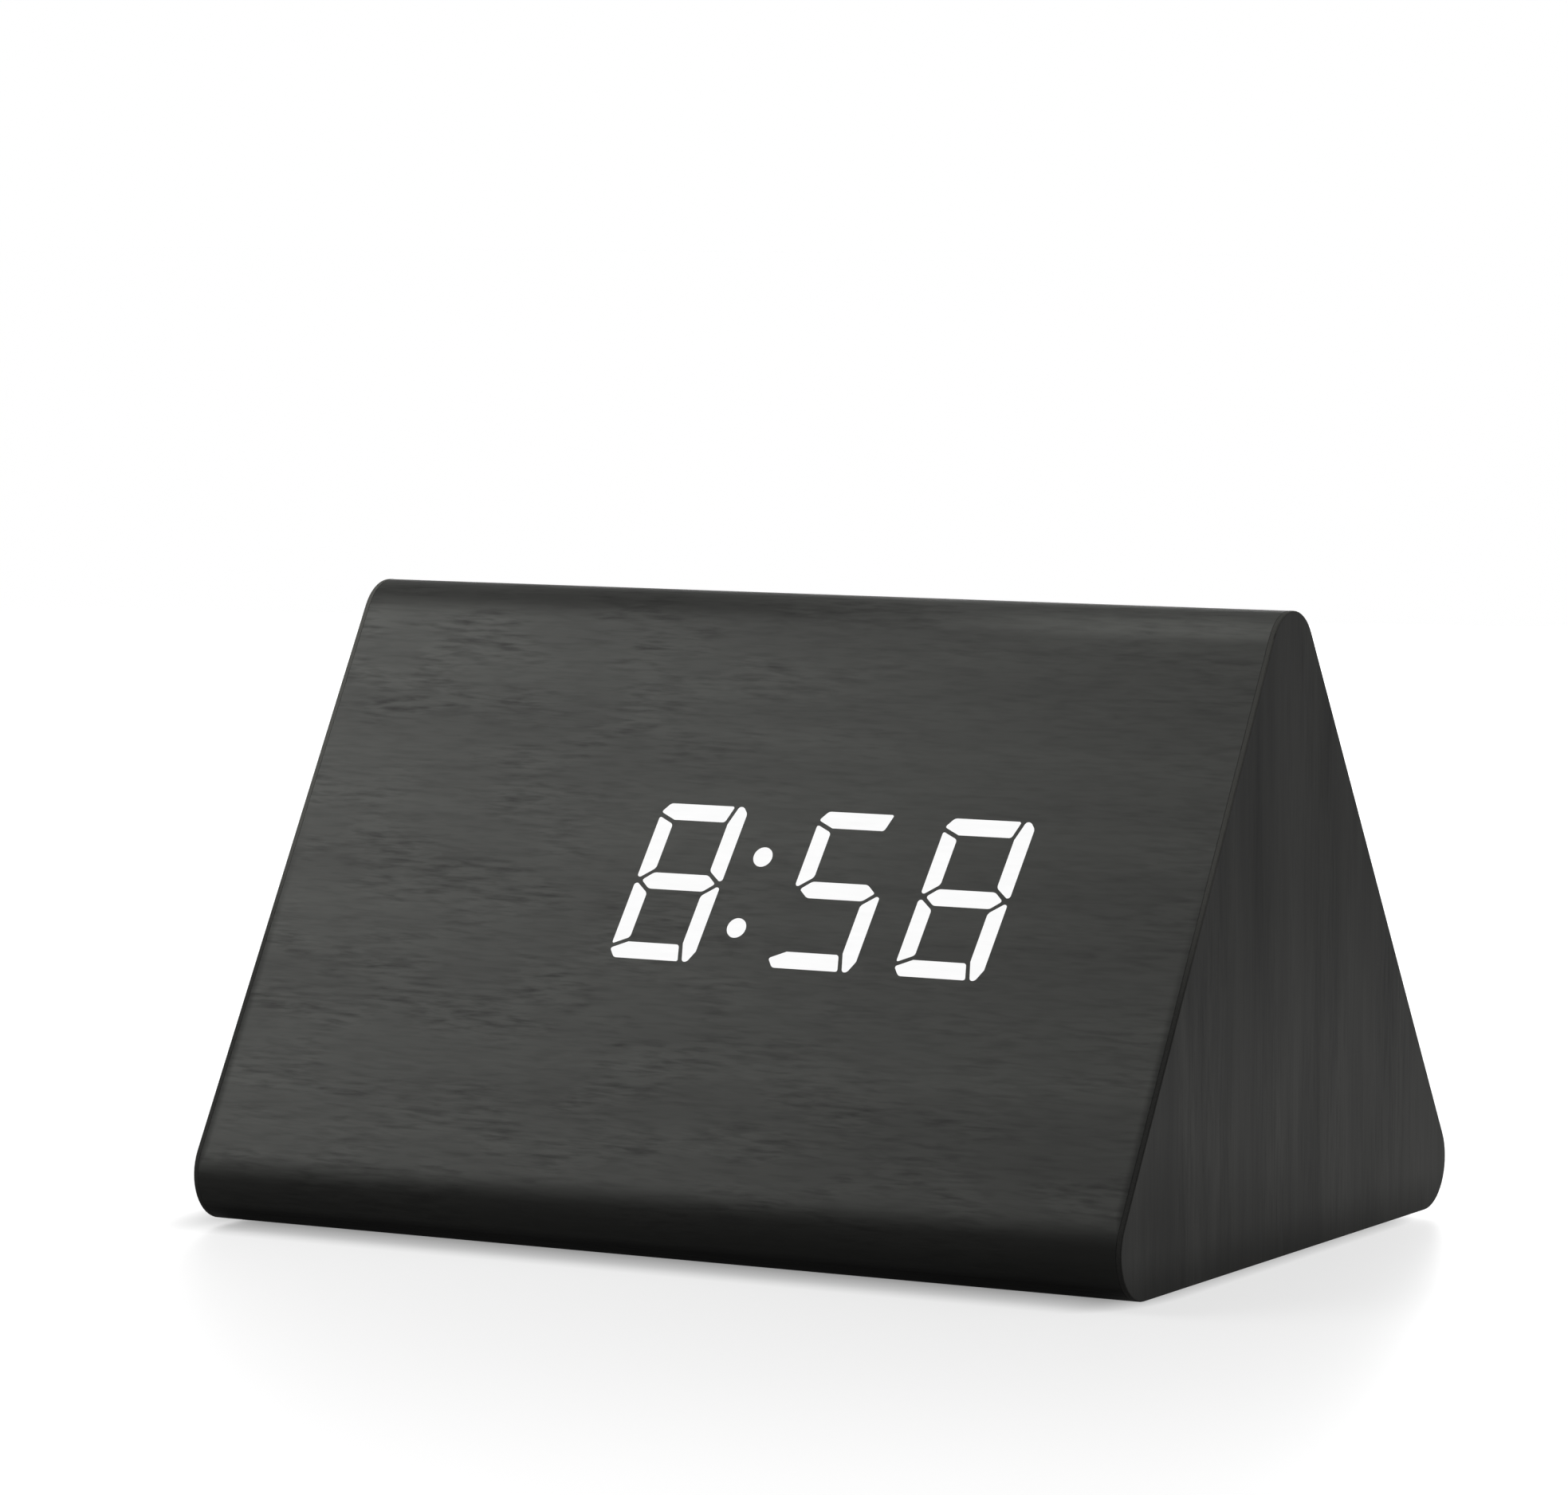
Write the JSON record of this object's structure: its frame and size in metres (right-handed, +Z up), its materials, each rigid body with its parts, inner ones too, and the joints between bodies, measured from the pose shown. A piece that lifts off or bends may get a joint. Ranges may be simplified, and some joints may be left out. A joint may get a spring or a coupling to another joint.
{
  "type": "wooden digital alarm clock",
  "caption": "Triangular block clock in black wood-grain veneer; white LED figures shine through the sloping front. Buttons and power inlet at the back, hinged battery door below.",
  "frame": {"origin": "middle of the plane that the four feet stand on", "axes": "+X along the body, to the right as seen from the front; the display faces -Y; +Z up"},
  "size_m": [0.12, 0.0836, 0.073],
  "materials": {
    "mdf": "raw board",
    "black_veneer": "satin black-stained wood grain, grain along the body",
    "end_veneer": "satin black-stained wood grain, grain upright",
    "lit_veneer": "veneer lit from behind, white",
    "diffuser": "matt translucent film",
    "white_abs": "moulded, satin",
    "circuit_board": "solder mask",
    "led": "phosphor",
    "chip_epoxy": "moulded, matt",
    "bright_can": "bright nickel",
    "holder_nylon": "moulded, matt",
    "zinc_screw": "zinc plated",
    "black_abs": "fine spark texture",
    "black_screw": "black zinc",
    "button_abs": "moulded, satin",
    "plunger_nylon": "moulded, satin",
    "inlet_nylon": "moulded, matt",
    "buzzer_case": "moulded, matt",
    "mic_can": "drawn can",
    "bead_epoxy": "dipped epoxy",
    "ribbon_pvc": "extruded PVC",
    "socket_nylon": "moulded, satin",
    "nickel_contact": "nickel plated",
    "cell_jacket": "printed jacket, plain",
    "red_pvc": "extruded PVC",
    "black_pvc": "extruded PVC",
    "foot_foam": "closed-cell foam"
  },
  "bodies": {
    "clock": {"shell": "mdf", "left_end_panel": "mdf", "right_end_panel": "mdf", "veneer_wrap": "black_veneer", "left_end_veneer": "end_veneer", "right_end_veneer": "end_veneer", "lit_segments": "lit_veneer", "diffuser_film": "diffuser", "light_box": "white_abs", "display_board": "circuit_board", "segment_leds": "led", "clock_chip": "chip_epoxy", "driver_chip": "chip_epoxy", "crystal": "bright_can", "backup_cell_holder": "holder_nylon", "backup_cell": "bright_can", "display_screws": "zinc_screw", "control_panel": "black_abs", "control_panel_screws": "black_screw", "switch_bodies": "holder_nylon", "control_board": "circuit_board", "control_board_screws": "zinc_screw", "power_inlet": "inlet_nylon", "buzzer": "buzzer_case", "microphone": "mic_can", "thermistor": "bead_epoxy", "ribbon_cable": "ribbon_pvc", "ribbon_sockets": "socket_nylon", "battery_box": "black_abs", "battery_box_screws": "black_screw", "contact_plates": "nickel_contact", "contact_springs": "nickel_contact", "cells": "cell_jacket", "red_lead": "red_pvc", "black_lead": "black_pvc", "foot_pads": "foot_foam"},
    "set_key": {"set_button": "button_abs", "set_plunger": "plunger_nylon"},
    "up_key": {"up_button": "button_abs", "up_plunger": "plunger_nylon"},
    "down_key": {"down_button": "button_abs", "down_plunger": "plunger_nylon"},
    "battery_door": {"battery_door": "black_abs"}
  },
  "joints": [
    {"name": "set_press", "type": "slide", "parent": "clock", "child": "set_key", "axis": [0, -0.86, -0.5103], "range_m": [0, 0.0005], "stiffness_N_per_m": 3000},
    {"name": "up_press", "type": "slide", "parent": "clock", "child": "up_key", "axis": [0, -0.86, -0.5103], "range_m": [0, 0.0005], "stiffness_N_per_m": 3000},
    {"name": "down_press", "type": "slide", "parent": "clock", "child": "down_key", "axis": [0, -0.86, -0.5103], "range_m": [0, 0.0005], "stiffness_N_per_m": 3000},
    {"name": "battery_door_hinge", "type": "hinge", "parent": "clock", "child": "battery_door", "pos_m": [0, 0.02115, 0.0026], "axis": [1, 0, 0], "range_deg": [0, 85]}
  ]
}
